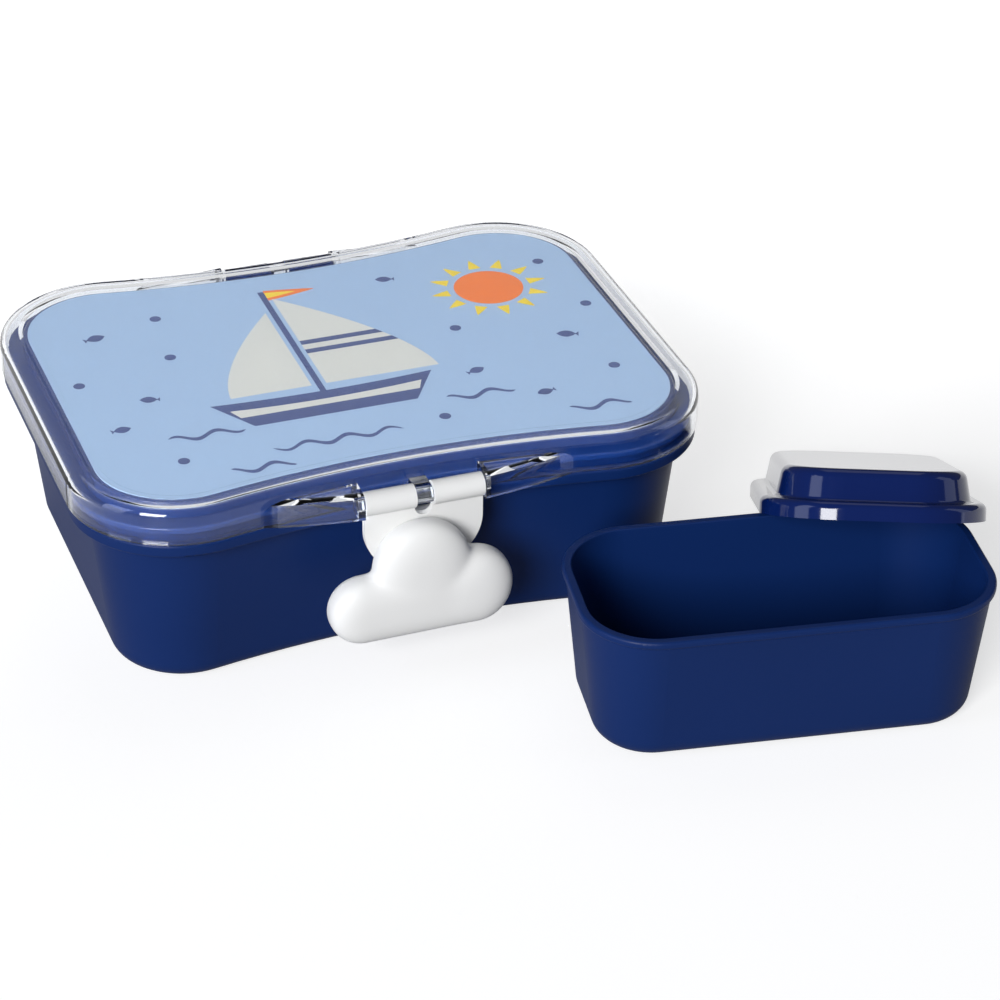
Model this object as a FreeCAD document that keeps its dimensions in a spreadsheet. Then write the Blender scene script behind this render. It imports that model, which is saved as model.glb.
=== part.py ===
import FreeCAD, Part
import math
import os

import Sketcher

# Child's lunch box with a hinged lid, a front latch and a separate snack container with its own lid.
# Millimetres, +Z up, +X right along the length, +Y to the back.
# The origin is the middle of the lunch box's base.

os.makedirs("parts", exist_ok=True)
doc = FreeCAD.newDocument("LunchBox")

SIZES = {
    # Outline of the lunch box at its widest, the lid's skirt, with a shallow waist front and back.
    "box_length": 185.0,
    "box_width": 139.0,
    "box_corner": 31.5,
    "waist_depth": 5.5,
    # Tub: a drafted wall, a down-turned flange and a raised collar. Insets are from the outline.
    "tub_wall": 2.0,
    "tub_base_inset": 10.2,
    "tub_base_round": 5.0,
    "tub_neck_inset": 5.5,
    "flange_top": 50.3,
    "flange_inset": 0.6,
    "flange_plate": 1.8,
    "lip_drop": 3.8,
    "lip_wall": 1.8,
    "collar_inset": 4.4,
    "collar_wall": 1.8,
    "collar_rise": 3.2,
    "edge_round": 0.8,
    # Clear cover.
    "skirt_gap": 0.5,
    "cover_wall": 1.8,
    "cover_top": 1.4,
    "shoulder_round": 3.6,
    "ridge_width": 2.0,
    "ridge_rise": 0.5,
    "ridge_slope": 1.2,
    # Lid liner and the picture card that lies between it and the cover.
    "liner_wall": 1.6,
    "liner_height": 5.7,
    "ledge_gap": 0.3,
    "liner_side_gap": 0.2,
    "plug_gap": 0.5,
    "plug_depth": 4.8,
    "card_inset": 8.2,
    "card_thick": 0.4,
    "card_gap": 0.1,
    # Hinge at the back and latch pivot at the front, which mirror each other.
    "pivot_out": 5.2,
    "pivot_rise": 3.7,
    "rod_radius": 1.5,
    "bore_gap": 0.08,
    "knuckle_radius": 3.4,
    "window_half": 17.5,
    "knuckle_side_gap": 0.3,
    "cheek_wall": 1.6,
    "finger_half": 2.4,
    "finger_gap": 0.25,
    "finger_radius": 2.6,
    "apron_half": 45.0,
    "apron_out": 3.3,
    "apron_bow": 6.0,
    "apron_wall": 1.6,
    "apron_end": 0.5,
    "apron_rise": 4.2,
    "apron_round": 3.0,
    "bracket_drop": 3.8,
    # Latch clip and the cloud-shaped button on it.
    "strap_thick": 2.0,
    "strap_foot": 31.0,
    "strap_corner": 14.0,
    "notch_depth": 6.0,
    "hook_half": 12.0,
    "hook_thick": 1.4,
    "hook_gap": 0.3,
    "hook_catch": 1.4,
    "cloud_thick": 11.5,
    "side_lobe_set_back": 0.9,
    "bar_set_back": 1.6,
    "bar_shrink": 0.5,
    "cloud_front_round": 8.0,
    "cloud_back_round": 2.5,
    "cloud_shift": -2.5,
    "middle_lobe_radius": 14.0,
    "middle_lobe_height": 35.5,
    "side_lobe_radius": 11.3,
    "side_lobe_height": 25.0,
    "left_lobe_out": 16.4,
    "right_lobe_out": 15.4,
    # Snack container, and where it stands beside the lunch box.
    "snack_length": 116.2,
    "snack_width": 60.2,
    "snack_corner": 20.9,
    "snack_height": 41.1,
    "snack_wall": 1.7,
    "snack_base_inset": 4.6,
    "snack_base_round": 5.5,
    "bead_height": 2.4,
    "bead_out": 1.0,
    "bead_round": 0.9,
    "snack_x": 85.6,
    "snack_y": -118.4,
    "snack_turn": -9.16,
    # Snack lid, and where its raised end lies over the container.
    "snack_lid_wall": 1.0,
    "snack_lid_fit": 0.2,
    "snack_lid_skirt": 5.0,
    "snack_lid_ledge": 4.5,
    "snack_lid_fillet": 1.0,
    "snack_lid_height": 13.7,
    "snack_lid_round": 2.8,
    "snack_lid_edge": 2.0,
    "snack_lid_draft": 1.0,
    "raised_end_x": 25.4,
    "raised_end_y": -7.0,
    "snack_lid_turn": 67.05,
    "rest_gap": 0.4,
}

# Reach of the profiles past the wall, so that ring and plate share some material.
RING_REACH = 6.0
# Length past a piece's own surface, for a cut that has to leave it cleanly.
CLEAR = 1.0
# Two points closer than this are the same corner of a sketch, as rounding parts tangent arcs a little.
SAME_POINT = 0.001
# Heights of an edge and of a face that differ by less than this are level.
LEVEL = 0.01

BOX = {"length": "Sizes.box_length", "width": "Sizes.box_width", "corner": "Sizes.box_corner"}
SNACK = {"length": "Sizes.snack_length", "width": "Sizes.snack_width", "corner": "Sizes.snack_corner"}
LID_GROWTH = "(Sizes.snack_lid_wall + Sizes.snack_lid_fit)"
SNACK_LID = {
    "length": f"(Sizes.snack_length + 2 * {LID_GROWTH})",
    "width": f"(Sizes.snack_width + 2 * {LID_GROWTH})",
    "corner": f"(Sizes.snack_corner + {LID_GROWTH})",
}

# Heights and places that several pieces share.
SKIRT_FOOT = "(Sizes.flange_top + Sizes.skirt_gap)"
COLLAR_TOP = "(Sizes.flange_top + Sizes.collar_rise)"
LIP_FOOT = "(Sizes.flange_top - Sizes.lip_drop)"
LEDGE_FOOT = f"({COLLAR_TOP} + Sizes.ledge_gap)"
CARD_SEAT = f"({LEDGE_FOOT} + Sizes.liner_height)"
PLATE_FOOT = f"({CARD_SEAT} + Sizes.card_thick + Sizes.card_gap)"
COVER_TOP = f"({PLATE_FOOT} + Sizes.cover_top)"
WAIST_Y = "(Sizes.box_width / 2 - Sizes.waist_depth)"
PIVOT_Y = f"({WAIST_Y} + Sizes.pivot_out)"
PIVOT_Z = "(Sizes.flange_top + Sizes.pivot_rise)"
APRON_TOP = f"({PIVOT_Z} + Sizes.apron_rise)"
KNUCKLE_HALF = "(Sizes.window_half - Sizes.knuckle_side_gap)"
STRAP_BACK = f"({PIVOT_Y} - Sizes.strap_thick / 2)"
STRAP_FRONT = f"({PIVOT_Y} + Sizes.strap_thick / 2)"
PLUG_INSET = "(Sizes.collar_inset + Sizes.collar_wall + Sizes.plug_gap)"


def make_sheet():
    """Spreadsheet with one row for each driving size: its name, its value and the value's alias."""
    sheet = doc.addObject("Spreadsheet::Sheet", "Sizes")
    for row, (alias, number) in enumerate(SIZES.items(), start=1):
        sheet.set(f"A{row}", alias.replace("_", " "))
        sheet.set(f"B{row}", str(number))
        sheet.setAlias(f"B{row}", alias)
    doc.recompute()
    return sheet


sheet = make_sheet()


def value(expression):
    """Number that an expression on the sheet gives now."""
    result = sheet.evalExpression(expression)
    return float(getattr(result, "Value", result))


def new_body(label):
    body = doc.addObject("PartDesign::Body", label)
    body.Label = label
    return body


def new_sketch(body, name, role, offset="0"):
    """Empty sketch on one of the body's origin planes, moved along the plane's normal."""
    sketch = body.newObject("Sketcher::SketchObject", name)
    origin_plane = [item for item in body.Origin.OriginFeatures if item.Role == role][0]
    sketch.AttachmentSupport = [(origin_plane, "")]
    sketch.MapMode = "FlatFace"
    sketch.setExpression("AttachmentOffset.Base.z", offset)
    return sketch


def corner(across, up, radius=None, turn=1, pinned=True):
    """One corner of a closed loop: a point, or an arc that turns left (1) or right (-1).

    An arc that is not pinned keeps its radius and takes its centre from its neighbours.
    """
    return {"across": across, "up": up, "radius": radius, "turn": turn, "pinned": pinned}


def bind(sketch, kind, expression, *where):
    """Driving dimension of a sketch, tied to an expression on the sheet."""
    index = sketch.addConstraint(Sketcher.Constraint(kind, *where, value(expression)))
    sketch.setExpression(f"Constraints[{index}]", expression)


def side_normals(places):
    """Outward normal of each straight side between neighbouring corners.

    With signed radii r0 and r1 and d the distance between centres, the side leans from the line of
    centres by the angle whose sine is (r0 - r1) / d.
    """
    normals = []
    for (x0, y0, r0), (x1, y1, r1) in zip(places, places[1:] + places[:1]):
        distance = math.hypot(x1 - x0, y1 - y0)
        along = ((x1 - x0) / distance, (y1 - y0) / distance)
        sine = max(-1.0, min(1.0, (r0 - r1) / distance))
        cosine = math.sqrt(1.0 - sine * sine)
        normals.append((cosine * along[1] + sine * along[0], -cosine * along[0] + sine * along[1]))
    return normals


def add_arc(sketch, place, entry, leave, spec):
    """Arc at a round corner, from its entry normal to its leaving normal."""
    x, y, radius = place
    angles = [math.atan2(normal[1] * radius, normal[0] * radius) for normal in (entry, leave)]
    if radius < 0:
        angles.reverse()
    circle = Part.Circle(FreeCAD.Vector(x, y, 0), FreeCAD.Vector(0, 0, 1), abs(radius))
    arc = sketch.addGeometry(Part.ArcOfCircle(circle, *angles))
    bind(sketch, "Radius", spec["radius"], arc)
    if spec["pinned"]:
        bind(sketch, "DistanceX", spec["across"], -1, 1, arc, 3)
        bind(sketch, "DistanceY", spec["up"], -1, 1, arc, 3)
    ends = (1, 2) if radius > 0 else (2, 1)
    return arc, ends[0], ends[1], True


def add_side(sketch, start, end, spec):
    """Straight side, whose start is tied to the sheet where it leaves a sharp corner."""
    line = sketch.addGeometry(Part.LineSegment(FreeCAD.Vector(*start, 0), FreeCAD.Vector(*end, 0)))
    if spec["radius"] is None:
        bind(sketch, "DistanceX", spec["across"], -1, 1, line, 1)
        bind(sketch, "DistanceY", spec["up"], -1, 1, line, 1)
    return line, 1, 2, False


def draw_loop(sketch, corners):
    """Closed loop, counterclockwise, of arcs at the round corners and tangent lines between them."""
    places = []
    for spec in corners:
        radius = value(spec["radius"]) * spec["turn"] if spec["radius"] else 0.0
        places.append((value(spec["across"]), value(spec["up"]), radius))
    normals = side_normals(places)
    pieces = []
    for index, spec in enumerate(corners):
        x, y, radius = places[index]
        leave = normals[index]
        if radius:
            pieces.append(add_arc(sketch, places[index], normals[index - 1], leave, spec))
        next_x, next_y, next_radius = places[(index + 1) % len(corners)]
        start = (x + radius * leave[0], y + radius * leave[1])
        end = (next_x + next_radius * leave[0], next_y + next_radius * leave[1])
        if math.dist(start, end) > SAME_POINT:
            pieces.append(add_side(sketch, start, end, spec))
    for here, following in zip(pieces, pieces[1:] + pieces[:1]):
        kind = "Tangent" if here[3] or following[3] else "Coincident"
        sketch.addConstraint(Sketcher.Constraint(kind, here[0], here[2], following[0], following[1]))


def rounded_outline(shape, inset):
    """Corners of a rounded rectangle, drawn at an inset from its outer edge."""
    x = f"({shape['length']} / 2 - {shape['corner']})"
    y = f"({shape['width']} / 2 - {shape['corner']})"
    radius = f"{shape['corner']} - ({inset})"
    return [corner("-" + x, "-" + y, radius), corner(x, "-" + y, radius),
            corner(x, y, radius), corner("-" + x, y, radius)]


def waisted_outline(inset):
    """Corners of the lunch box outline: four round corners, with a hollow arc in front and behind.

    With a the corner centre's distance from the middle and d the waist's depth, the hollow arc that
    meets both corner arcs smoothly has the radius (a^2 + d^2) / 2d - corner radius.
    """
    left, right, right_back, left_back = rounded_outline(BOX, inset)
    middle = "(Sizes.box_length / 2 - Sizes.box_corner)"
    bend = f"(({middle}^2 + Sizes.waist_depth^2) / (2 * Sizes.waist_depth) - Sizes.box_corner)"
    centre = f"({WAIST_Y} + {bend})"
    radius = f"{bend} + ({inset})"
    front = corner("0", "-" + centre, radius, turn=-1, pinned=False)
    back = corner("0", centre, radius, turn=-1, pinned=False)
    return [left, front, right, right_back, back, left_back]


def rectangle(left, low, right, high):
    return [corner(left, low), corner(right, low), corner(right, high), corner(left, high)]


def ring(body, name, outline, profile):
    """A profile, drawn across the front wall at the middle, carried once round the outline."""
    path = new_sketch(body, name + "Path", "XY_Plane")
    draw_loop(path, outline)
    section = new_sketch(body, name + "Profile", "YZ_Plane")
    draw_loop(section, profile)
    doc.recompute()
    pipe = body.newObject("PartDesign::AdditivePipe", name)
    pipe.Profile = section
    pipe.Spine = (path, [f"Edge{number + 1}" for number in range(len(path.Shape.Edges))])
    doc.recompute()
    return pipe


def raised(body, kind, name, loops, low, height, role="XY_Plane"):
    """Pad or Pocket that goes up by a height from a level above the plane."""
    sketch = new_sketch(body, name + "Sketch", role, low)
    for loop in loops:
        draw_loop(sketch, loop)
    feature = body.newObject("PartDesign::" + kind, name)
    feature.Profile = sketch
    feature.setExpression("Length", height)
    feature.Reversed = kind == "Pocket"
    doc.recompute()
    return feature


def across(body, kind, name, loop, width, middle="0"):
    """Pad or Pocket of a side view, as wide as given and centred on a place along X."""
    sketch = new_sketch(body, name + "Sketch", "YZ_Plane", middle)
    draw_loop(sketch, loop)
    feature = body.newObject("PartDesign::" + kind, name)
    feature.Profile = sketch
    feature.setExpression("Length", width)
    feature.Midplane = True
    doc.recompute()
    return feature


def front_view(body, kind, name, loop, depth):
    """Pad or Pocket of a front view, as deep as given and centred on the front pivot."""
    sketch = new_sketch(body, name + "Sketch", "XZ_Plane", PIVOT_Y)
    draw_loop(sketch, loop)
    feature = body.newObject("PartDesign::" + kind, name)
    feature.Profile = sketch
    feature.setExpression("Length", depth)
    feature.Midplane = True
    doc.recompute()


def box_wall(inset):
    """Place across the front wall, at the waist, of an inset from the outline."""
    return f"{inset} - {WAIST_Y}"


def snack_wall(shape, inset):
    """Place across the front wall of an inset from a snack piece's outer edge."""
    return f"{inset} - {shape['width']} / 2"


def disc(y, z, radius):
    """Round loop about a centre, as two half arcs."""
    return [corner(y, f"{z} - 0.001", radius), corner(y, f"{z} + 0.001", radius)]


def make_tub():
    """Tub with a drafted wall, a down-turned flange, a raised collar and the hinge knuckles."""
    body = new_body("tub")
    bottom_inset = "Sizes.tub_base_inset + Sizes.tub_base_round"
    reach = f"{bottom_inset} + {RING_REACH}"
    inner_round = "Sizes.tub_base_round - Sizes.tub_wall"
    collar_out = "Sizes.collar_inset"
    collar_in = "Sizes.collar_inset + Sizes.collar_wall"
    small = "Sizes.edge_round"
    shelf = "Sizes.flange_top - Sizes.flange_plate"
    lip_in = "Sizes.flange_inset + Sizes.lip_wall"
    neck_in = "Sizes.tub_neck_inset + Sizes.tub_wall"
    profile = [
        corner(box_wall(reach), "0"),
        corner(box_wall(reach), "Sizes.tub_wall"),
        corner(box_wall(bottom_inset), "Sizes.tub_base_round", inner_round, turn=-1),
        corner(box_wall(neck_in), LIP_FOOT),
        corner(box_wall(neck_in), shelf),
        corner(box_wall(collar_in), shelf),
        corner(box_wall(f"{collar_in} - {small}"), f"{COLLAR_TOP} - {small}", small),
        corner(box_wall(f"{collar_out} + {small}"), f"{COLLAR_TOP} - {small}", small),
        corner(box_wall(collar_out), "Sizes.flange_top"),
        corner(box_wall(f"Sizes.flange_inset + {small}"), f"Sizes.flange_top - {small}", small),
        corner(box_wall(f"Sizes.flange_inset + {small}"), f"{LIP_FOOT} + {small}", small),
        corner(box_wall(lip_in), LIP_FOOT),
        corner(box_wall(lip_in), shelf),
        corner(box_wall("Sizes.tub_neck_inset"), shelf),
        corner(box_wall("Sizes.tub_neck_inset"), LIP_FOOT),
        corner(box_wall(bottom_inset), "Sizes.tub_base_round", "Sizes.tub_base_round"),
    ]
    ring(body, "Wall", waisted_outline("0"), profile)
    floor = waisted_outline(f"{bottom_inset} + {RING_REACH} / 2")
    raised(body, "Pad", "Floor", [floor], "0", "Sizes.tub_wall")
    add_hinge_knuckles(body)
    return body


def add_hinge_knuckles(body):
    """Bracket behind the flange, and two bored knuckles on it with a gap for the lid's finger."""
    outer = f"({PIVOT_Y} + Sizes.knuckle_radius)"
    inner = f"({PIVOT_Y} - Sizes.knuckle_radius)"
    bracket_foot = "(Sizes.flange_top - Sizes.bracket_drop)"
    bracket_start = f"({WAIST_Y} - Sizes.flange_inset - Sizes.lip_wall)"
    knuckle_foot = "Sizes.flange_top - Sizes.bracket_drop / 2"
    width = f"2 * {KNUCKLE_HALF}"
    bracket = [
        corner(bracket_start, bracket_foot),
        corner(f"{outer} - Sizes.edge_round", f"{bracket_foot} + Sizes.edge_round", "Sizes.edge_round"),
        corner(outer, "Sizes.flange_top"),
        corner(bracket_start, "Sizes.flange_top"),
    ]
    across(body, "Pad", "Bracket", bracket, width)
    knuckle = [
        corner(inner, knuckle_foot),
        corner(outer, knuckle_foot),
        corner(PIVOT_Y, PIVOT_Z, "Sizes.knuckle_radius"),
    ]
    across(body, "Pad", "Knuckles", knuckle, width)
    bore = disc(PIVOT_Y, PIVOT_Z, "Sizes.rod_radius + Sizes.bore_gap")
    across(body, "Pocket", "Bore", bore, f"{width} + {CLEAR}")
    gap_half = "(Sizes.finger_half + Sizes.finger_gap)"
    gap = rectangle(f"-{gap_half}", f"{inner} - {CLEAR}", gap_half, f"{outer} + {CLEAR}")
    gap_height = f"Sizes.pivot_rise + Sizes.knuckle_radius + {CLEAR}"
    raised(body, "Pocket", "FingerGap", [gap], "Sizes.flange_top", gap_height)


def make_cover():
    """Clear cover: plate, rounded shoulder and skirt, with an apron and a pivot front and back."""
    body = new_body("lid_cover")
    add_aprons(body)
    shoulder = "Sizes.shoulder_round"
    ridge_top = f"({COVER_TOP} + Sizes.ridge_rise)"
    shoulder_z = f"({ridge_top} - {shoulder})"
    ridge_end = f"{shoulder} + Sizes.ridge_width"
    plate_start = f"{ridge_end} + Sizes.ridge_slope"
    reach = f"{plate_start} + {RING_REACH}"
    profile = [
        corner(box_wall(reach), PLATE_FOOT),
        corner(box_wall(reach), COVER_TOP),
        corner(box_wall(plate_start), COVER_TOP),
        corner(box_wall(ridge_end), ridge_top),
        corner(box_wall(shoulder), shoulder_z, shoulder),
        corner(box_wall("0"), SKIRT_FOOT),
        corner(box_wall("Sizes.cover_wall"), SKIRT_FOOT),
        corner(box_wall(shoulder), shoulder_z, f"{shoulder} - Sizes.cover_wall", turn=-1),
    ]
    ring(body, "Skirt", waisted_outline("0"), profile)
    plate = waisted_outline(f"{plate_start} + {RING_REACH} / 2")
    raised(body, "Pad", "Plate", [plate], PLATE_FOOT, "Sizes.cover_top")
    add_fingers(body)
    return body


def draw_bowed_plan(sketch, left, right, wall):
    """Plan between two places along X, with a bowed front and back, inside the aprons by a wall.

    With c half the bow's length and b its rise, its radius is (c^2 + b^2) / 2b.
    """
    bend = "((Sizes.apron_half^2 + Sizes.apron_bow^2) / (2 * Sizes.apron_bow))"
    centre = f"({bend} - {WAIST_Y} - Sizes.apron_out - Sizes.apron_bow)"
    radius = f"{bend} - ({wall})"
    ends = [value(left), value(right)]
    reach = value(radius)
    middle = value(centre)
    corners = []
    for side in (-1, 1):
        depth = [side * (math.sqrt(reach ** 2 - end ** 2) - middle) for end in ends]
        corners.append([FreeCAD.Vector(end, y, 0) for end, y in zip(ends, depth)])
    front, back = corners
    arcs = []
    for side, (start, end) in zip((-1, 1), (front, (back[1], back[0]))):
        hub = FreeCAD.Vector(0, -side * middle, 0)
        circle = Part.Circle(hub, FreeCAD.Vector(0, 0, 1), reach)
        angles = [math.atan2(point.y - hub.y, point.x - hub.x) for point in (start, end)]
        arc = sketch.addGeometry(Part.ArcOfCircle(circle, *angles))
        bind(sketch, "Radius", radius, arc)
        sketch.addConstraint(Sketcher.Constraint("PointOnObject", arc, 3, -2))
        bind(sketch, "DistanceY", centre if side < 0 else "-" + centre, -1, 1, arc, 3)
        arcs.append(arc)
    right_line = sketch.addGeometry(Part.LineSegment(front[1], back[1]))
    left_line = sketch.addGeometry(Part.LineSegment(back[0], front[0]))
    chain = [(arcs[0], 2, right_line, 1), (right_line, 2, arcs[1], 1),
             (arcs[1], 2, left_line, 1), (left_line, 2, arcs[0], 1)]
    for joint in chain:
        sketch.addConstraint(Sketcher.Constraint("Coincident", *joint))
    for line, place in ((right_line, right), (left_line, left)):
        sketch.addConstraint(Sketcher.Constraint("Vertical", line))
        bind(sketch, "DistanceX", place, -1, 1, line, 1)


def plan_feature(body, kind, name, left, right, wall, low, height):
    """Pad or Pocket of a bowed plan, from a level upwards."""
    sketch = new_sketch(body, name + "Sketch", "XY_Plane", low)
    draw_bowed_plan(sketch, left, right, wall)
    feature = body.newObject("PartDesign::" + kind, name)
    feature.Profile = sketch
    feature.setExpression("Length", height)
    feature.Reversed = kind == "Pocket"
    doc.recompute()


def add_aprons(body):
    """Hollow aprons that bow out beside the two pivots, each closed by a cheek at the window."""
    height = f"({APRON_TOP} - {SKIRT_FOOT})"
    plan_feature(body, "Pad", "ApronBlock", "-Sizes.apron_half", "Sizes.apron_half", "0",
                 SKIRT_FOOT, height)
    block = body.Tip
    top = value(APRON_TOP)
    bowed = [f"Edge{index}" for index, edge in enumerate(block.Shape.Edges, start=1)
             if type(edge.Curve).__name__ == "Circle" and abs(edge.BoundBox.ZMin - top) < LEVEL]
    rounding = body.newObject("PartDesign::Fillet", "ApronRound")
    rounding.Base = (block, bowed)
    rounding.setExpression("Radius", "Sizes.apron_round")
    doc.recompute()
    window = rectangle("-Sizes.window_half", "-Sizes.box_width", "Sizes.window_half", "Sizes.box_width")
    raised(body, "Pocket", "Window", [window], SKIRT_FOOT, height)
    hollow_start = "(Sizes.window_half + Sizes.cheek_wall)"
    hollow_end = "(Sizes.apron_half - Sizes.apron_end)"
    hollow_height = f"({height} - Sizes.apron_wall)"
    plan_feature(body, "Pocket", "HollowRight", hollow_start, hollow_end, "Sizes.apron_wall",
                 SKIRT_FOOT, hollow_height)
    plan_feature(body, "Pocket", "HollowLeft", "-" + hollow_end, "-" + hollow_start, "Sizes.apron_wall",
                 SKIRT_FOOT, hollow_height)
    inside = waisted_outline("Sizes.cover_wall / 2")
    raised(body, "Pocket", "Inside", [inside], SKIRT_FOOT, f"{height} + {CLEAR}")


def add_fingers(body):
    """Centre finger and pressed rod holes at each pivot."""
    width = "2 * Sizes.finger_half"
    hole_width = "2 * (Sizes.window_half + Sizes.cheek_wall)"
    start = f"({WAIST_Y} - Sizes.cover_wall / 2)"
    low = f"{PIVOT_Z} - Sizes.finger_radius"
    high = f"{PIVOT_Z} + Sizes.finger_radius"
    front = [
        corner("-" + PIVOT_Y, PIVOT_Z, "Sizes.finger_radius"),
        corner("-" + start, low),
        corner("-" + start, high),
    ]
    back = [
        corner(start, low),
        corner(PIVOT_Y, PIVOT_Z, "Sizes.finger_radius"),
        corner(start, high),
    ]
    across(body, "Pad", "FrontFinger", front, width)
    across(body, "Pad", "BackFinger", back, width)
    across(body, "Pocket", "FrontHole", disc("-" + PIVOT_Y, PIVOT_Z, "Sizes.rod_radius"), hole_width)
    across(body, "Pocket", "BackHole", disc(PIVOT_Y, PIVOT_Z, "Sizes.rod_radius"), hole_width)


def make_liner():
    """Inner shell of the lid: a plateau that carries the card, a ledge, and a plug in the tub's mouth."""
    body = new_body("lid_liner")
    small = "Sizes.edge_round"
    reach = f"{PLUG_INSET} + Sizes.liner_wall + {RING_REACH}"
    ledge_out = "Sizes.cover_wall + Sizes.liner_side_gap"
    ledge_round = "Sizes.liner_wall / 3"
    plug_foot = f"{LEDGE_FOOT} - Sizes.plug_depth"
    profile = [
        corner(box_wall(reach), f"{CARD_SEAT} - Sizes.liner_wall"),
        corner(box_wall(reach), CARD_SEAT),
        corner(box_wall(f"{PLUG_INSET} + {small}"), f"{CARD_SEAT} - {small}", small),
        corner(box_wall(PLUG_INSET), f"{LEDGE_FOOT} + Sizes.liner_wall"),
        corner(box_wall(f"{ledge_out} + {ledge_round}"), f"{LEDGE_FOOT} + Sizes.liner_wall - {ledge_round}",
               ledge_round),
        corner(box_wall(ledge_out), LEDGE_FOOT),
        corner(box_wall(PLUG_INSET), LEDGE_FOOT),
        corner(box_wall(PLUG_INSET), plug_foot),
        corner(box_wall(f"{PLUG_INSET} + Sizes.liner_wall"), plug_foot),
        corner(box_wall(f"{PLUG_INSET} + Sizes.liner_wall"), f"{CARD_SEAT} - Sizes.liner_wall"),
    ]
    ring(body, "Rim", waisted_outline("0"), profile)
    plateau = waisted_outline(f"{PLUG_INSET} + Sizes.liner_wall + {RING_REACH} / 2")
    raised(body, "Pad", "Plateau", [plateau], f"{CARD_SEAT} - Sizes.liner_wall", "Sizes.liner_wall")
    return body


def make_card():
    """Printed card that lies on the liner, under the clear cover."""
    body = new_body("picture_card")
    raised(body, "Pad", "Sheet", [waisted_outline("Sizes.card_inset")], CARD_SEAT, "Sizes.card_thick")
    return body


def make_rod(label, place_y):
    """Straight pin that is pressed into both cheeks and the finger of one pivot."""
    rod = doc.addObject("Part::Cylinder", label)
    rod.Label = label
    rod.setExpression("Radius", "Sizes.rod_radius")
    rod.setExpression("Height", "2 * (Sizes.window_half + Sizes.cheek_wall)")
    rod.Placement.Rotation = FreeCAD.Rotation(FreeCAD.Vector(0, 1, 0), 90)
    rod.setExpression("Placement.Base.x", "-(Sizes.window_half + Sizes.cheek_wall)")
    rod.setExpression("Placement.Base.y", place_y)
    rod.setExpression("Placement.Base.z", PIVOT_Z)
    return rod


def make_clip():
    """Latch clip: two barrels round the front rod, a strap, and a hook under the tub's lip."""
    body = new_body("latch_clip")
    width = f"2 * {KNUCKLE_HALF}"
    across(body, "Pad", "Barrels", disc("-" + PIVOT_Y, PIVOT_Z, "Sizes.knuckle_radius"), width)
    foot = "(Sizes.strap_foot + Sizes.strap_corner)"
    side = f"({KNUCKLE_HALF} - Sizes.strap_corner)"
    strap = [
        corner("-" + side, foot, "Sizes.strap_corner"),
        corner(side, foot, "Sizes.strap_corner"),
        corner(KNUCKLE_HALF, PIVOT_Z),
        corner("-" + KNUCKLE_HALF, PIVOT_Z),
    ]
    front_view(body, "Pad", "Strap", strap, "Sizes.strap_thick")
    hook_top = f"({LIP_FOOT} - Sizes.hook_gap)"
    hook_tip = f"({WAIST_Y} - Sizes.flange_inset - Sizes.hook_catch)"
    nose = "Sizes.hook_thick / 2"
    hook = [
        corner("-" + STRAP_FRONT, f"{hook_top} - 2 * Sizes.hook_thick"),
        corner(f"-{hook_tip} - {nose}", f"{hook_top} - {nose}", nose),
        corner(f"-{STRAP_BACK}", hook_top),
        corner("-" + STRAP_FRONT, hook_top),
    ]
    across(body, "Pad", "Hook", hook, "2 * Sizes.hook_half")
    across(body, "Pocket", "Bore", disc("-" + PIVOT_Y, PIVOT_Z, "Sizes.rod_radius + Sizes.bore_gap"),
           f"{width} + {CLEAR}")
    gap_half = "(Sizes.finger_half + Sizes.finger_gap)"
    notch_low = f"({PIVOT_Z} - Sizes.notch_depth)"
    top = f"({PIVOT_Z} + Sizes.knuckle_radius + {CLEAR})"
    notch = [
        corner(f"-{gap_half}", top),
        corner("0", f"{notch_low} + {gap_half}", gap_half),
        corner(gap_half, top),
    ]
    front_view(body, "Pocket", "Notch", notch, f"2 * (Sizes.knuckle_radius + {CLEAR})")
    return body


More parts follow.
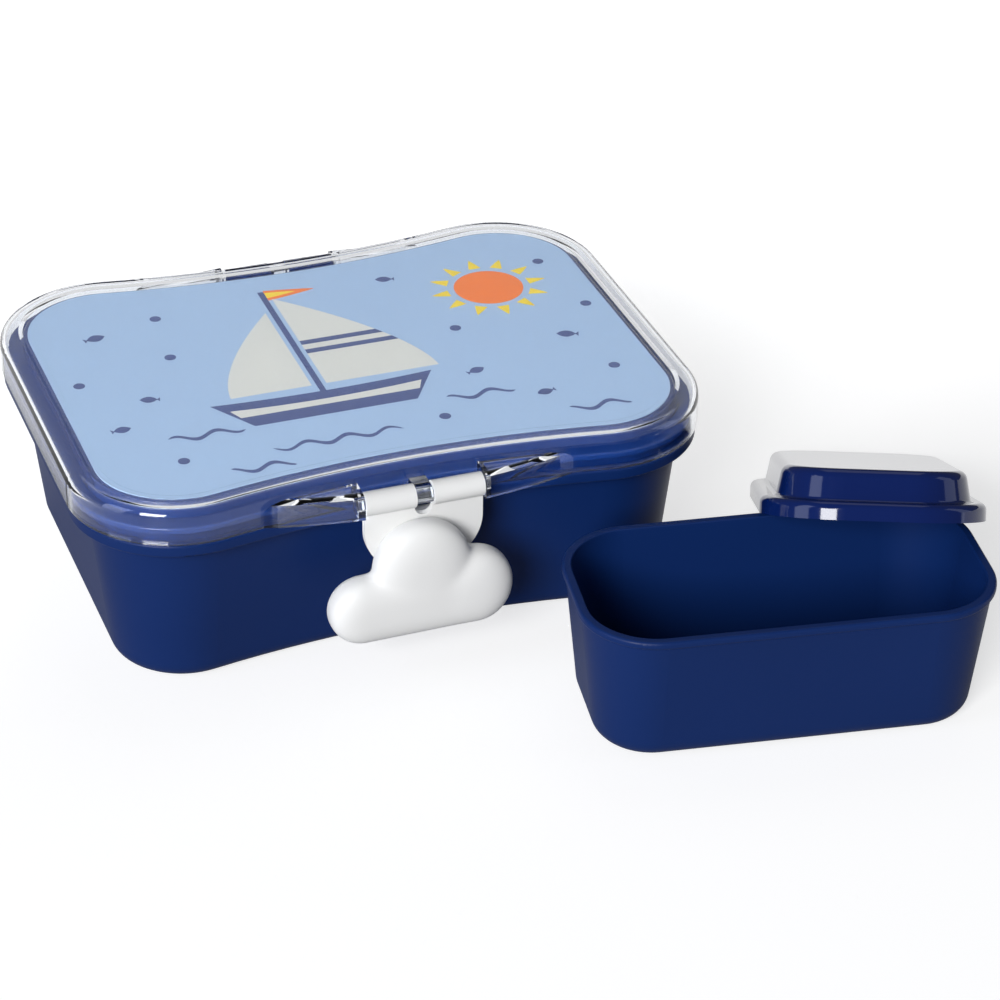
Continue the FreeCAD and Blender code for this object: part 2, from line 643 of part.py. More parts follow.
def make_cloud():
    """Puffy cloud on the strap's front, from two side lobes, a bar between them and a middle lobe."""
    body = new_body("cloud_button")
    back = f"-{STRAP_FRONT}"
    front = f"({back} - Sizes.cloud_thick)"
    side_front = f"({front} + Sizes.side_lobe_set_back)"
    bar_front = f"({front} + Sizes.bar_set_back)"
    front_round = "Sizes.cloud_front_round"
    back_round = "Sizes.cloud_back_round"
    height = "Sizes.side_lobe_height"
    radius = "Sizes.side_lobe_radius"
    lobes = [
        ("Left", "Sizes.cloud_shift - Sizes.left_lobe_out", height, radius, side_front),
        ("Right", "Sizes.cloud_shift + Sizes.right_lobe_out", height, radius, side_front),
        ("Middle", "Sizes.cloud_shift", "Sizes.middle_lobe_height", "Sizes.middle_lobe_radius", front),
    ]
    half = f"({radius} - Sizes.bar_shrink)"
    bar = [
        corner(f"{bar_front} + {front_round}", f"{height} - {half} + {front_round}", front_round),
        corner(f"{back} - {back_round}", f"{height} - {half} + {back_round}", back_round),
        corner(f"{back} - {back_round}", f"{height} + {half} - {back_round}", back_round),
        corner(f"{bar_front} + {front_round}", f"{height} + {half} - {front_round}", front_round),
    ]
    across(body, "Pad", "Bar", bar, "Sizes.left_lobe_out + Sizes.right_lobe_out",
           "Sizes.cloud_shift + (Sizes.right_lobe_out - Sizes.left_lobe_out) / 2")
    for name, place, lobe_height, lobe_radius, lobe_front in lobes:
        sketch = new_sketch(body, name + "Sketch", "XY_Plane", lobe_height)
        sketch.setExpression("AttachmentOffset.Base.x", place)
        draw_loop(sketch, [
            corner("0", lobe_front),
            corner(f"{lobe_radius} - {front_round}", f"{lobe_front} + {front_round}", front_round),
            corner(f"{lobe_radius} - {back_round}", f"{back} - {back_round}", back_round),
            corner("0", back),
        ])
        lobe = body.newObject("PartDesign::Revolution", name)
        lobe.Profile = sketch
        lobe.ReferenceAxis = (sketch, ["V_Axis"])
        lobe.Angle = 360
        doc.recompute()
    return body


def make_snack_tub():
    """Open snack container with a drafted wall and a rounded bead round its rim."""
    body = new_body("snack_tub")
    bottom = "Sizes.snack_base_inset + Sizes.snack_base_round"
    reach = f"{bottom} + {RING_REACH}"
    bead = "Sizes.bead_round"
    bead_foot = "(Sizes.snack_height - Sizes.bead_height)"
    inner_top = "Sizes.bead_out + Sizes.snack_wall"
    lip = "Sizes.bead_round / 2"
    profile = [
        corner(snack_wall(SNACK, reach), "0"),
        corner(snack_wall(SNACK, reach), "Sizes.snack_wall"),
        corner(snack_wall(SNACK, bottom), "Sizes.snack_base_round",
               "Sizes.snack_base_round - Sizes.snack_wall", turn=-1),
        corner(snack_wall(SNACK, f"{inner_top} - {lip}"), f"Sizes.snack_height - {lip}", lip),
        corner(snack_wall(SNACK, bead), f"Sizes.snack_height - {bead}", bead),
        corner(snack_wall(SNACK, bead), f"{bead_foot} + {bead}", bead),
        corner(snack_wall(SNACK, "Sizes.bead_out"), bead_foot),
        corner(snack_wall(SNACK, bottom), "Sizes.snack_base_round", "Sizes.snack_base_round"),
    ]
    ring(body, "Wall", rounded_outline(SNACK, "0"), profile)
    floor = rounded_outline(SNACK, f"{bottom} + {RING_REACH} / 2")
    raised(body, "Pad", "Floor", [floor], "0", "Sizes.snack_wall")
    body.setExpression("Placement.Base.x", "Sizes.snack_x")
    body.setExpression("Placement.Base.y", "Sizes.snack_y")
    turn = FreeCAD.Rotation(FreeCAD.Vector(0, 0, 1), value("Sizes.snack_turn"))
    body.Placement.Rotation = turn
    doc.recompute()
    return body


def make_snack_lid():
    """Snack container's lid: a skirt, a ledge and a raised rounded top, open underneath."""
    body = new_body("snack_lid")
    wall = "Sizes.snack_lid_wall"
    top_round = "Sizes.snack_lid_round"
    edge = "Sizes.snack_lid_edge"
    fillet = "Sizes.snack_lid_fillet"
    dome_foot = "Sizes.snack_lid_ledge"
    dome_head = "(Sizes.snack_lid_ledge + Sizes.snack_lid_draft)"
    reach = f"{dome_head} + {top_round} + {RING_REACH}"
    top = "Sizes.snack_lid_height"
    skirt = "Sizes.snack_lid_skirt"
    profile = [
        corner(snack_wall(SNACK_LID, reach), f"{top} - {wall}"),
        corner(snack_wall(SNACK_LID, reach), top),
        corner(snack_wall(SNACK_LID, f"{dome_head} + {top_round}"), f"{top} - {top_round}", top_round),
        corner(snack_wall(SNACK_LID, f"{dome_foot} - {fillet}"), f"{skirt} + {fillet}", fillet, turn=-1),
        corner(snack_wall(SNACK_LID, edge), f"{skirt} - {edge}", edge),
        corner(snack_wall(SNACK_LID, "0"), "0"),
        corner(snack_wall(SNACK_LID, wall), "0"),
        corner(snack_wall(SNACK_LID, edge), f"{skirt} - {edge}", f"{edge} - {wall}", turn=-1),
        corner(snack_wall(SNACK_LID, f"{dome_foot} + {wall}"), f"{skirt} - {wall}"),
        corner(snack_wall(SNACK_LID, f"{dome_head} + {top_round}"), f"{top} - {top_round}",
               f"{top_round} - {wall}", turn=-1),
    ]
    ring(body, "Wall", rounded_outline(SNACK_LID, "0"), profile)
    plate = rounded_outline(SNACK_LID, f"{dome_head} + {top_round} + {RING_REACH} / 2")
    raised(body, "Pad", "Top", [plate], f"{top} - {wall}", wall)
    body.Placement = leaning_place()
    return body


def leaning_place():
    """Placement of the lid with its far end on the ground and its left edge on the container's rim.

    With L and W the lid's length and width, q the distance on the ground from the raised end to where
    the left edge crosses the rim, and r the rim's height with the rest gap, the tilt t solves
    L sin t - q tan t = r.
    """
    long_side = value(SNACK_LID["length"])
    half_width = value(SNACK_LID["width"]) / 2
    turn = math.radians(value("Sizes.snack_turn"))
    heading = math.radians(value("Sizes.snack_lid_turn"))
    to_back = (-math.sin(turn), math.cos(turn))
    forward = (math.cos(heading), math.sin(heading))
    left_edge = (value("Sizes.raised_end_x") - half_width * forward[1],
                 value("Sizes.raised_end_y") + half_width * forward[0])
    reach = value("Sizes.snack_width") / 2 - left_edge[0] * to_back[0] - left_edge[1] * to_back[1]
    crossing = reach / (forward[0] * to_back[0] + forward[1] * to_back[1])
    rest = value("Sizes.snack_height + Sizes.rest_gap")
    tilt = math.asin(rest / long_side)
    for _ in range(40):
        tilt = math.asin((rest + crossing * math.tan(tilt)) / long_side)
    flat = long_side / 2 * math.cos(tilt)
    centre = FreeCAD.Vector(
        value("Sizes.snack_x + Sizes.raised_end_x") + flat * forward[0],
        value("Sizes.snack_y + Sizes.raised_end_y") + flat * forward[1],
        long_side / 2 * math.sin(tilt))
    yaw = FreeCAD.Rotation(FreeCAD.Vector(0, 0, 1), math.degrees(heading))
    pitch = FreeCAD.Rotation(FreeCAD.Vector(0, 1, 0), math.degrees(tilt))
    return FreeCAD.Placement(centre, yaw.multiply(pitch))


def check_document(pieces):
    """Stops the script if any object failed or any piece has no sound shape."""
    doc.recompute()
    for item in doc.Objects:
        if "Invalid" in item.State or "Error" in item.State:
            raise RuntimeError(f"{item.Label} failed: {item.State}")
    for piece in pieces:
        if piece.Shape.isNull() or not piece.Shape.isValid() or len(piece.Shape.Solids) != 1:
            raise RuntimeError(f"{piece.Label} has no single sound solid")


pieces = [
    make_tub(),
    make_liner(),
    make_card(),
    make_cover(),
    make_rod("latch_rod", "-" + PIVOT_Y),
    make_rod("hinge_rod", PIVOT_Y),
    make_clip(),
    make_cloud(),
    make_snack_tub(),
    make_snack_lid(),
]
check_document(pieces)
for piece in pieces:
    piece.Shape.exportStep(f"parts/{piece.Label}.step")
    print(piece.Label, round(piece.Shape.Volume), "mm3")
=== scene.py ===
import math

import bpy
import numpy as np
from mathutils import Matrix, Vector


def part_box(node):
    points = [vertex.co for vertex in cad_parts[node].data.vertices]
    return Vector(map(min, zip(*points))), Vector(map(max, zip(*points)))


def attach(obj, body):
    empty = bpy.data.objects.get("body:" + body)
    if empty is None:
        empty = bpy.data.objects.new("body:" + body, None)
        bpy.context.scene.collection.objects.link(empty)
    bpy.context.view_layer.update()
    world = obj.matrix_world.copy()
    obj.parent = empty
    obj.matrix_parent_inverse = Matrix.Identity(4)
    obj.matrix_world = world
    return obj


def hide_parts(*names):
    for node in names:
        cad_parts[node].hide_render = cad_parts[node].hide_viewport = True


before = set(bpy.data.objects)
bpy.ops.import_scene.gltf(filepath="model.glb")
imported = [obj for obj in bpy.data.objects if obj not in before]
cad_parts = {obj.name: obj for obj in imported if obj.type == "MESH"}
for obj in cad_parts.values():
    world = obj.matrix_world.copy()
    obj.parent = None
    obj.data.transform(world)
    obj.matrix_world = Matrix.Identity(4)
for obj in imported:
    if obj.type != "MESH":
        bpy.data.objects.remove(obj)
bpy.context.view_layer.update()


# The tub is injection-moulded polypropylene in navy blue, with a fine satin texture from the mould.
# It stands on a flat base, and its flange and collar carry the lid.
MM = 0.001


def linear(colour):
    """Linear RGBA of an sRGB hex colour: c/12.92 below 0.04045, else ((c + 0.055)/1.055)^2.4."""
    channels = np.array([int(colour[place:place + 2], 16) / 255 for place in (1, 3, 5)])
    low = channels / 12.92
    high = ((channels + 0.055) / 1.055) ** 2.4
    return (*np.where(channels <= 0.04045, low, high).tolist(), 1.0)


def add_node(tree, kind, settings=None, links=None, **properties):
    """Node of one kind, with its properties, its constant inputs and its links from other sockets."""
    node = tree.nodes.new(kind)
    for name, setting in properties.items():
        setattr(node, name, setting)
    for name, setting in (settings or {}).items():
        node.inputs[name].default_value = setting
    for name, socket in (links or {}).items():
        tree.links.new(socket, node.inputs[name])
    return node


def new_material(name):
    """Empty node material with its output node, and the Object coordinates of the piece."""
    material = bpy.data.materials.new(name)
    material.use_nodes = True
    tree = material.node_tree
    tree.nodes.clear()
    output = add_node(tree, "ShaderNodeOutputMaterial")
    place = add_node(tree, "ShaderNodeTexCoord").outputs["Object"]
    return material, tree, output, place


def moulded_plastic(name, colour, pale, roughness, grain_depth, specular):
    """Moulded plastic: a mould grain 0.5 mm across, and flow marks 45 mm long that shift its tone.

    The real grain is about 0.2 mm. It is drawn coarser so that it shows. Its pits shade part of the
    mirrored light, so the specular level lies below that of a polished face.
    """
    grain_size = 0.5 * MM
    flow_size = 45 * MM
    glossier, duller = 0.03, 0.05
    material, tree, output, place = new_material(name)
    grain = add_node(
        tree, "ShaderNodeTexNoise", {"Scale": 1 / grain_size, "Detail": 2.0}, {"Vector": place})
    flow = add_node(
        tree, "ShaderNodeTexNoise", {"Scale": 1 / flow_size, "Detail": 1.0}, {"Vector": place})
    tone = add_node(
        tree, "ShaderNodeMixRGB", {"Color1": linear(colour), "Color2": linear(pale)},
        {"Fac": flow.outputs["Fac"]})
    sheen = add_node(
        tree, "ShaderNodeMapRange", {"To Min": roughness - glossier, "To Max": roughness + duller},
        {"Value": grain.outputs["Fac"]})
    bump = add_node(
        tree, "ShaderNodeBump", {"Strength": 0.35, "Distance": grain_depth},
        {"Height": grain.outputs["Fac"]})
    shader = add_node(
        tree, "ShaderNodeBsdfPrincipled", {"IOR": 1.49, "Specular IOR Level": specular},
        {"Base Color": tone.outputs["Color"], "Roughness": sheen.outputs["Result"],
         "Normal": bump.outputs["Normal"]})
    tree.links.new(shader.outputs["BSDF"], output.inputs["Surface"])
    return material


def dress(node, material):
    """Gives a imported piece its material."""
    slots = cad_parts[node].data.materials
    slots.clear()
    slots.append(material)


# The fine grain of satin polypropylene spreads each highlight into a soft, dim sheen.
navy_satin = moulded_plastic(
    "satin_moulded_polypropylene_navy", "#0b2558", "#0e2960",
    roughness=0.38, grain_depth=0.01 * MM, specular=0.18)
dress("tub", navy_satin)


# The liner is the inner shell of the lid, in the same navy polypropylene, moulded smoother.
# It snaps into the clear cover, carries the card, and its plug sits in the tub's mouth.
# Its smoother face gives clearer highlights than the tub's.
navy_smooth = moulded_plastic(
    "smooth_moulded_polypropylene_navy", "#132f68", "#16336e",
    roughness=0.22, grain_depth=0.004 * MM, specular=0.4)
dress("lid_liner", navy_smooth)


# The picture is printed on a pale blue card, with a faint paper fibre about 1.5 mm long in its
# coating. It lies loose between the liner and the clear cover.
def printed_paper(name, colour):
    """Coated printed paper: an even ink, with the fibre below it changing its tone by a few percent."""
    fibre_size = 1.5 * MM
    material, tree, output, place = new_material(name)
    fibre = add_node(
        tree, "ShaderNodeTexNoise", {"Scale": 1 / fibre_size, "Detail": 3.0}, {"Vector": place})
    light = add_node(
        tree, "ShaderNodeMapRange", {"To Min": 0.97, "To Max": 1.03}, {"Value": fibre.outputs["Fac"]})
    ink = add_node(
        tree, "ShaderNodeHueSaturation", {"Color": linear(colour)}, {"Value": light.outputs["Result"]})
    shader = add_node(
        tree, "ShaderNodeBsdfPrincipled", {"IOR": 1.45, "Roughness": 0.55},
        {"Base Color": ink.outputs["Color"]})
    tree.links.new(shader.outputs["BSDF"], output.inputs["Surface"])
    return material


# Coated card looks even and nearly matt.
dress("picture_card", printed_paper("coated_card_pale_blue", "#a5bfda"))


# The print is a generic sailboat, a sun, waves, small fish and dots in flat cream, navy, orange and
# yellow ink. Each ink is a thin flat layer on the card.
card_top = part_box("picture_card")[1][2]
ink_layer = 0.03 * MM
ink_thickness = 0.02 * MM
ink_steps = np.linspace(0.0, 1.0, 33)
boat_x = -12.0
boat_deck = -17.0
boat_keel = -30.0
deck_dip = 1.5
mast_half = 0.9
mast_height = 63.0
mast_gap = 2.2
sail_foot = -13.0
main_head = 41.0
main_reach = 34.0
jib_head = 33.0
jib_reach = 24.0
stripe_places = (0.34, 0.44)
stripe_share = 0.045
pennant_y = 43.5
sun_x, sun_y, sun_radius = 54.0, 27.0, 10.5
sun_ray_count = 12
wave_rise = 1.5
wave_spacing = 12
wave_half = 0.9
dot_radius = 1.7


def between(first, second, rows=5):
    """Flat patch between two curves: (1 - v) first(u) + v second(u)."""
    share = np.linspace(0.0, 1.0, rows)[:, None, None]
    return (1 - share) * first[None] + share * second[None]


def curve(x, y):
    """Points (x(u), y(u)) of a plane curve, where either may be the same all along."""
    return np.stack(np.broadcast_arrays(x, y), axis=-1).astype(float)


def turned(patch, angle, x, y):
    """Patch turned about the origin by an angle, then moved to (x, y)."""
    cosine, sine = math.cos(angle), math.sin(angle)
    return patch @ np.array([[cosine, sine], [-sine, cosine]]) + np.array([x, y])


def disc(x, y, radius):
    """Disc between its lower and upper half circles: y -+ r sin(pi u), with x + r cos(pi u)."""
    turn = math.pi * ink_steps
    across = x + radius * np.cos(turn)
    return between(curve(across, y - radius * np.sin(turn)), curve(across, y + radius * np.sin(turn)))


def sail(side, reach, head, low=0.0, high=1.0):
    """Sail between its mast edge and its outer edge, which stands off by reach (1 - h^1.6) at height h."""
    height = low + (high - low) * ink_steps
    up = sail_foot + (head - sail_foot) * height
    mast_edge = boat_x + side * mast_gap
    outer_edge = mast_edge + side * reach * (1 - height ** 1.6)
    return between(curve(mast_edge, up), curve(outer_edge, up))


def hull(top, bottom, top_half, bottom_half):
    """Hull band from a level foot to a top that rises by deck_dip s^2, with s from -1 to 1 along it."""
    span = 2 * ink_steps - 1
    upper = curve(boat_x + top_half * span, top + deck_dip * span ** 2)
    return between(curve(boat_x + bottom_half * span, bottom), upper)


def wave(x, y, length):
    """Ribbon along y = rise sin(2 pi x / spacing), whose half width falls as sin(pi u)^0.35 to its ends."""
    along = length * (ink_steps - 0.5)
    line = y + wave_rise * np.sin(2 * math.pi * along / wave_spacing)
    half = wave_half * np.sin(math.pi * ink_steps) ** 0.35
    return between(curve(x + along, line - half), curve(x + along, line + half))


def fish(x, y, length, heading):
    """Fish over 0.72 of a length: half depth 0.21 sin(1.15 pi u)^0.8, and a tail that widens past 0.86."""
    body = length * (0.36 - 0.72 * ink_steps)
    depth = 0.21 * length * np.sin(math.pi * np.minimum(ink_steps * 1.15, 1.0)) ** 0.8
    tail = 0.9 * length * np.clip(ink_steps - 0.86, 0.0, None)
    half = np.maximum(depth, 0.02 * length) + tail
    return turned(between(curve(body, -half), curve(body, half)), heading, x, y)


def ray(x, y, angle, inner, outer, half_width):
    """Pointed ray between two edges, whose half width falls as (1 - u)^0.8 to nought at its tip."""
    out = inner + (outer - inner) * ink_steps
    half = half_width * (1 - ink_steps) ** 0.8
    return turned(between(curve(out, -half), curve(out, half)), angle, x, y)


def add_piece(name, points, faces, material):
    """Mesh object from its points and faces, in one material."""
    mesh = bpy.data.meshes.new(name)
    mesh.from_pydata(points, [], faces)
    mesh.materials.append(material)
    piece = bpy.data.objects.new(name, mesh)
    bpy.context.collection.objects.link(piece)
    return piece


def print_ink(name, patches, layer, material):
    """One ink: all its flat patches, at a height of some layers above the card, given a thickness."""
    points = []
    faces = []
    height = card_top + layer * ink_layer
    for patch in patches:
        rows, columns = patch.shape[:2]
        start = sum(len(block) for block in points)
        flat = patch.reshape(-1, 2) * MM
        points.append(np.column_stack([flat, np.full(len(flat), height)]))
        index = start + np.arange(rows * columns).reshape(rows, columns)
        quads = np.stack([index[:-1, :-1], index[:-1, 1:], index[1:, 1:], index[1:, :-1]], axis=-1)
        faces.append(quads.reshape(-1, 4))
    piece = add_piece(name, np.concatenate(points).tolist(), np.concatenate(faces).tolist(), material)
    piece.modifiers.new("thickness", "SOLIDIFY").thickness = ink_thickness
    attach(piece, "lid")


# Printing inks look as matt as the card, each in one even tone.
navy_ink = printed_paper("printing_ink_navy", "#35487e")
cream_ink = printed_paper("printing_ink_cream", "#dbd9cd")
orange_ink = printed_paper("printing_ink_orange", "#f97a14")
yellow_ink = printed_paper("printing_ink_yellow", "#fad81c")

main_sail = sail(1, main_reach, main_head)
jib = sail(-1, jib_reach, jib_head)
stripes = [sail(1, main_reach, main_head, low, low + stripe_share) for low in stripe_places]
mast_up = boat_deck + mast_height * ink_steps
mast = between(curve(boat_x - mast_half, mast_up), curve(boat_x + mast_half, mast_up))
boat_hull = hull(boat_deck, boat_keel, top_half=33.0, bottom_half=24.0)
hull_band = hull(top=-21.5, bottom=-24.5, top_half=28.5, bottom_half=26.5)
pennant = ray(boat_x + 1, pennant_y, angle=0.0, inner=0.0, outer=15.0, half_width=3.2)
pennant_heart = ray(boat_x + 1, pennant_y, angle=0.0, inner=0.0, outer=9.0, half_width=1.7)
sun_rays = [ray(sun_x, sun_y, 2 * math.pi * number / sun_ray_count, inner=12.5, outer=18.0, half_width=1.9)
            for number in range(sun_ray_count)]
# Place, length and heading of each fish, place of each dot, and place and length of each wave.
shoal = [(-66, 34, 9, 0.2), (-60, -6, 8, 2.9), (-72, -20, 8, 0.1), (33, -20, 8, 0.3),
         (66, -8, 9, 2.8), (48, -38, 8, 3.3), (26, 42, 8, 2.9)]
dots = [(-48, 16), (-77, 8), (-46, 40), (36, 6), (74, 38), (72, -30), (-60, -42), (16, -42), (78, 8)]
waves = [(-50, -30, 22), (-16, -44, 38), (30, -33, 20), (60, -50, 18), (-40, -52, 18)]

print_ink("print_cream", [main_sail, jib], 1, cream_ink)
print_ink("print_navy", [boat_hull, mast, *stripes,
                         *[fish(*place) for place in shoal],
                         *[disc(x, y, dot_radius) for x, y in dots],
                         *[wave(*place) for place in waves]], 2, navy_ink)
print_ink("print_cream_band", [hull_band], 3, cream_ink)
print_ink("print_orange", [disc(sun_x, sun_y, sun_radius), pennant], 1, orange_ink)
print_ink("print_yellow", [*sun_rays, pennant_heart], 3, yellow_ink)


# The cover is moulded in clear, glossy plastic about 1.8 mm thick, and the card and the liner show
# through it. The two pivot pins are drawn from the same plastic.
def clear_plastic(name, tint, roughness):
    """Clear glossy plastic that bends and mirrors light, and lets the lamps reach what lies under it."""
    material, tree, output, _ = new_material(name)
    glass = add_node(
        tree, "ShaderNodeBsdfPrincipled",
        {"Base Color": linear(tint), "Roughness": roughness, "IOR": 1.49, "Transmission Weight": 1.0})
    clear = add_node(tree, "ShaderNodeBsdfTransparent", {"Color": linear(tint)})
    path = add_node(tree, "ShaderNodeLightPath")
    blend = add_node(tree, "ShaderNodeMixShader", links={
        0: path.outputs["Is Shadow Ray"], 1: glass.outputs["BSDF"], 2: clear.outputs["BSDF"]})
    tree.links.new(blend.outputs["Shader"], output.inputs["Surface"])
    return material


# Clear plastic shows what lies behind it, bent at its curves, under thin bright highlights.
clear_moulded = clear_plastic("clear_moulded_plastic", "#f6f8fb", roughness=0.01)
for node in ("lid_cover", "latch_rod", "hinge_rod"):
    dress(node, clear_moulded)


# The latch clip is white polypropylene with two barrels that turn on the front pin, a strap, and a
# hook that catches under the tub's flange. Its satin face shades softly, with a wide, faint sheen.
white_satin = moulded_plastic(
    "satin_moulded_polypropylene_white", "#e6e6e5", "#eaeae8",
    roughness=0.42, grain_depth=0.006 * MM, specular=0.3)
dress("latch_clip", white_satin)


# The cloud on the clip is a puffy moulding in the same white plastic, fixed to the strap. A level bar,
# a right lobe and a middle lobe swell into each other, over a nearly flat foot.
cloud_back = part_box("cloud_button")[1][1] / MM
cloud_front_depth = 6.2
cloud_back_depth = 5.4
cloud_middle = -74.6
cloud_heart = np.array([-3.0, cloud_middle, 27.0])
cloud_spread = np.array([26.0, 6.0, 18.0])
cloud_outside = 60.0
lobe_place = np.array([[13.1, 26.6], [-2.3, 34.9]])
lobe_radius = np.array([10.7, 14.0])
bar_start = np.array([-19.6, 23.8])
bar_end = np.array([13.1, 24.2])
bar_radius = 9.85
edge_power = 2.8
crease_sharpness = 13.0


def cloud_field(points):
    """Smooth union -log(sum exp(-k f)) / k of two lobes and a bar, with f = (r^p + |y/h|^p)^(1/p) - 1."""
    plan = points[..., [0, 2]]
    lobes = np.linalg.norm(plan[..., None, :] - lobe_place, axis=-1) / lobe_radius
    along = bar_end - bar_start
    share = np.clip((plan - bar_start) @ along / (along @ along), 0.0, 1.0)[..., None]
    bar = np.linalg.norm(plan - bar_start - share * along, axis=-1)[..., None] / bar_radius
    reach = np.concatenate([lobes, bar], axis=-1)
    depth = points[..., 1] - cloud_middle
    depth = np.abs(np.where(depth < 0, depth / cloud_front_depth, depth / cloud_back_depth))[..., None]
    field = (reach ** edge_power + depth ** edge_power) ** (1 / edge_power) - 1
    return -np.log(np.exp(-crease_sharpness * field).sum(axis=-1)) / crease_sharpness


def cloud_surface(columns, rows, halvings=40):
    """Grid over angle and slant: from the heart outwards until the smooth union is reached, by halving."""
    angle = np.linspace(0, 2 * math.pi, columns, endpoint=False)[None]
    slant = np.linspace(-math.pi / 2, math.pi / 2, rows)[:, None]
    heading = cloud_spread * np.stack(np.broadcast_arrays(
        np.cos(slant) * np.cos(angle), np.sin(slant), np.cos(slant) * np.sin(angle)), axis=-1)
    heading /= np.linalg.norm(heading, axis=-1, keepdims=True)
    near = np.zeros(heading.shape[:2])
    far = np.full(heading.shape[:2], cloud_outside)
    for _ in range(halvings):
        middle = (near + far) / 2
        inside = cloud_field(cloud_heart + middle[..., None] * heading) < 0
        near = np.where(inside, middle, near)
        far = np.where(inside, far, middle)
    points = cloud_heart + near[..., None] * heading
    points[..., 1] = np.minimum(points[..., 1], cloud_back)
    return points * MM


def closed_shell(name, points, material):
    """Closed mesh from a grid whose columns wrap round and whose first and last rows are poles."""
    rows, columns = points.shape[:2]
    ends = points[[0, -1]].mean(axis=1)
    body = points[1:-1].reshape(-1, 3)
    index = np.arange(len(body)).reshape(rows - 2, columns)
    after = np.roll(index, -1, axis=1)
    quads = np.stack([index[:-1], after[:-1], after[1:], index[1:]], axis=-1).reshape(-1, 4)
    first, last = len(body), len(body) + 1
    start = np.stack([np.full(columns, first), after[0], index[0]], axis=-1)
    finish = np.stack([np.full(columns, last), index[-1], after[-1]], axis=-1)
    faces = quads.tolist() + start.tolist() + finish.tolist()
    piece = add_piece(name, np.concatenate([body, ends]).tolist(), faces, material)
    piece.data.shade_smooth()
    return piece


cloud = closed_shell("cloud_puffy", cloud_surface(columns=180, rows=96), white_satin)
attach(cloud, "latch")
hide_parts("cloud_button")


# The snack container is moulded in the same satin navy polypropylene, and its lid in a glossier one,
# from a polished mould. The lid mirrors the lamps and the white room in sharp shapes.
dress("snack_tub", navy_satin)
navy_gloss = moulded_plastic(
    "glossy_moulded_polypropylene_navy", "#061a50", "#081e58",
    roughness=0.07, grain_depth=0.0, specular=0.5)
dress("snack_lid", navy_gloss)


# The studio is a pale floor in a plain light room, with a large soft lamp in front on the left, one
# above the back and a cool strip at each side. The floor is lifted to white where it is seen directly
# or through plastic, and behind the set where it is mirrored. It keeps the soft shadows.
def seen_through(tree, path):
    """One for a ray from the lens, or from the lens through clear plastic only, else nought."""
    direct = add_node(
        tree, "ShaderNodeMath", {1: 0.5}, {0: path.outputs["Diffuse Depth"]}, operation="LESS_THAN")
    clear = add_node(
        tree, "ShaderNodeMath",
        links={0: path.outputs["Is Transmission Ray"], 1: direct.outputs["Value"]}, operation="MULTIPLY")
    either = add_node(
        tree, "ShaderNodeMath",
        links={0: path.outputs["Is Camera Ray"], 1: clear.outputs["Value"]}, operation="MAXIMUM")
    return either.outputs["Value"]


def studio_floor(half_side, paint_colour, lift, near, far):
    """Square pale floor, with a share of white added where it is seen or mirrored.

    The share rises from the lift at the near depth to 1 at the far one. Where the floor is mirrored,
    it counts only behind the set and on its right, and fades in over 0.1 m along (0.6, 0.8).
    """
    behind = (0.6, 0.8, 0.0)
    fade_start, fade_end = -0.02, 0.08
    corners = [(-half_side, -half_side, 0), (half_side, -half_side, 0),
               (half_side, half_side, 0), (-half_side, half_side, 0)]
    material, tree, output, place = new_material("matt_painted_studio_floor")
    path = add_node(tree, "ShaderNodeLightPath")
    depth = add_node(tree, "ShaderNodeSeparateXYZ", links={"Vector": place})
    rise = add_node(
        tree, "ShaderNodeMapRange", {"From Min": near, "From Max": far, "To Min": lift, "To Max": 1.0},
        {"Value": depth.outputs["Y"]})
    along = add_node(tree, "ShaderNodeVectorMath", {1: behind}, {0: place}, operation="DOT_PRODUCT")
    fade = add_node(
        tree, "ShaderNodeMapRange", {"From Min": fade_start, "From Max": fade_end},
        {"Value": along.outputs["Value"]})
    mirrored = add_node(
        tree, "ShaderNodeMath",
        links={0: path.outputs["Is Glossy Ray"], 1: fade.outputs["Result"]}, operation="MULTIPLY")
    share = add_node(
        tree, "ShaderNodeMath",
        links={0: seen_through(tree, path), 1: mirrored.outputs["Value"]}, operation="MAXIMUM")
    level = add_node(
        tree, "ShaderNodeMath",
        links={0: share.outputs["Value"], 1: rise.outputs["Result"]}, operation="MULTIPLY")
    paint = add_node(tree, "ShaderNodeBsdfDiffuse", {"Color": linear(paint_colour)})
    glow = add_node(tree, "ShaderNodeEmission", links={"Strength": level.outputs["Value"]})
    both = add_node(
        tree, "ShaderNodeAddShader", links={0: paint.outputs["BSDF"], 1: glow.outputs["Emission"]})
    tree.links.new(both.outputs["Shader"], output.inputs["Surface"])
    add_piece("studio_floor", corners, [(0, 1, 2, 3)], material)


def studio_world(level):
    """Surroundings that are white where seen directly or through plastic, else at a plain level."""
    world = bpy.data.worlds.new("studio")
    bpy.context.scene.world = world
    world.use_nodes = True
    tree = world.node_tree
    tree.nodes.clear()
    path = add_node(tree, "ShaderNodeLightPath")
    strength = add_node(
        tree, "ShaderNodeMapRange", {"To Min": level, "To Max": 1.0}, {"Value": seen_through(tree, path)})
    sky = add_node(tree, "ShaderNodeBackground", links={"Strength": strength.outputs["Result"]})
    output = add_node(tree, "ShaderNodeOutputWorld")
    tree.links.new(sky.outputs["Background"], output.inputs["Surface"])


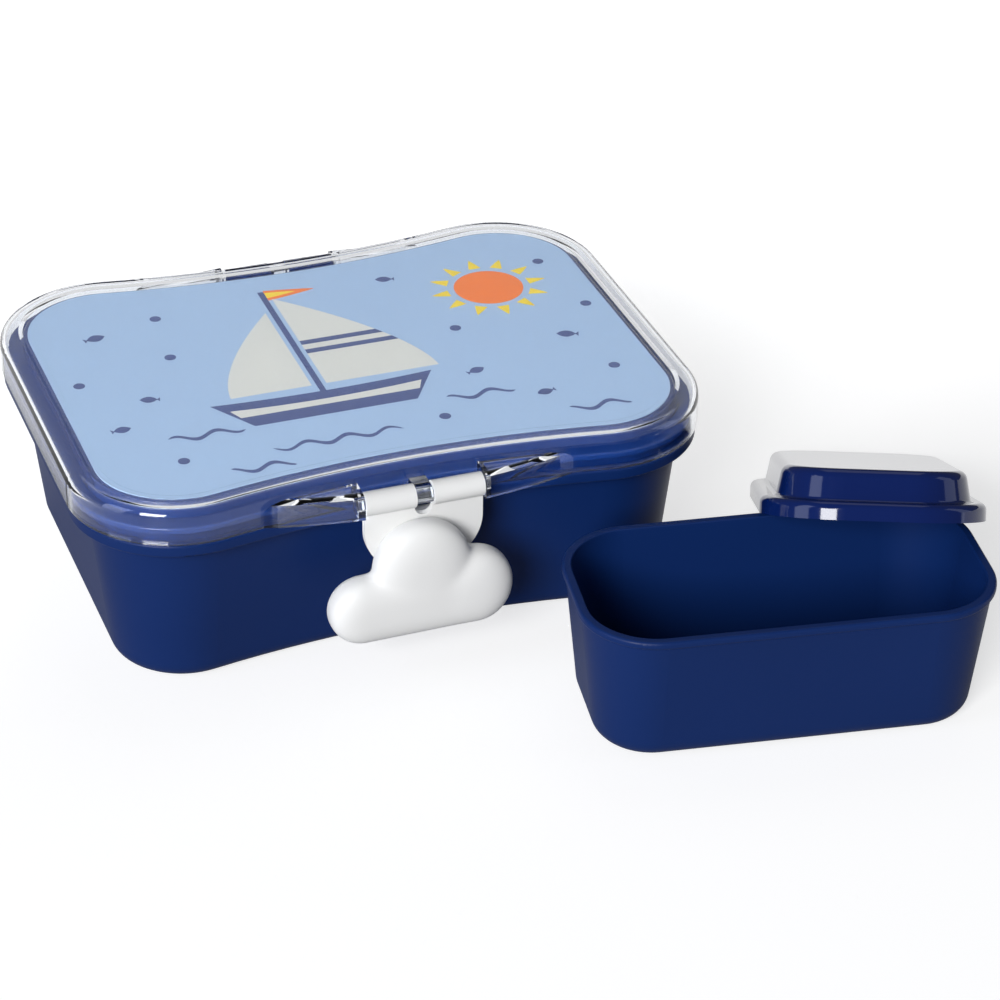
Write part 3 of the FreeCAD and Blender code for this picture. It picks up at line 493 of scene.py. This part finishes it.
def soft_lamp(name, place, width, height, watts, colour="#ffffff"):
    """Soft rectangular lamp at a place, turned to aim at the middle of the set."""
    set_middle = Vector((0.03, -0.03, 0.03))
    lamp = bpy.data.lights.new(name, "AREA")
    lamp.color = linear(colour)[:3]
    lamp.shape = "RECTANGLE"
    lamp.size = width
    lamp.size_y = height
    lamp.energy = watts
    holder = bpy.data.objects.new(name, lamp)
    bpy.context.collection.objects.link(holder)
    holder.location = place
    holder.rotation_euler = (Vector(place) - set_middle).to_track_quat("Z", "Y").to_euler()
    holder.visible_camera = False


cool_white = "#dde7ff"
studio_floor(half_side=6.0, paint_colour="#bcbcbc", lift=0.64, near=-0.06, far=0.3)
studio_world(level=0.14)
soft_lamp("lamp_front_left", (-2.5, -2.9, 1.9), width=1.7, height=1.7, watts=182.0)
soft_lamp("lamp_above_back", (0.6, 1.2, 2.4), width=1.6, height=1.6, watts=4.0)
soft_lamp("lamp_left_strip", (-1.2, -0.25, 0.45), width=0.5, height=1.2, watts=4.5, colour=cool_white)
soft_lamp("lamp_right_strip", (1.25, -0.55, 0.5), width=0.5, height=1.2, watts=1.8, colour=cool_white)


# The camera stands in front and a little to the left, about a metre away, looking down on the set.
# Its long lens keeps the set's sides nearly parallel.
def studio_camera(target, distance, azimuth, elevation, roll, lens):
    """Camera at a distance from its target, swung round it by azimuth and raised by elevation."""
    camera = bpy.data.objects.new("camera", bpy.data.cameras.new("camera"))
    bpy.context.collection.objects.link(camera)
    turn = (Matrix.Rotation(math.radians(azimuth), 3, "Z")
            @ Matrix.Rotation(math.radians(90 - elevation), 3, "X")
            @ Matrix.Rotation(math.radians(roll), 3, "Z"))
    camera.rotation_euler = turn.to_euler()
    camera.location = Vector(target) + distance * turn.col[2]
    camera.data.lens = lens
    camera.data.sensor_width = 36
    bpy.context.scene.camera = camera


studio_camera(
    target=(35.5 * MM, -34.7 * MM, 25 * MM), distance=979.7 * MM,
    azimuth=-20.47, elevation=31.38, roll=0.71, lens=121.47)
bpy.context.scene.view_settings.view_transform = "Standard"
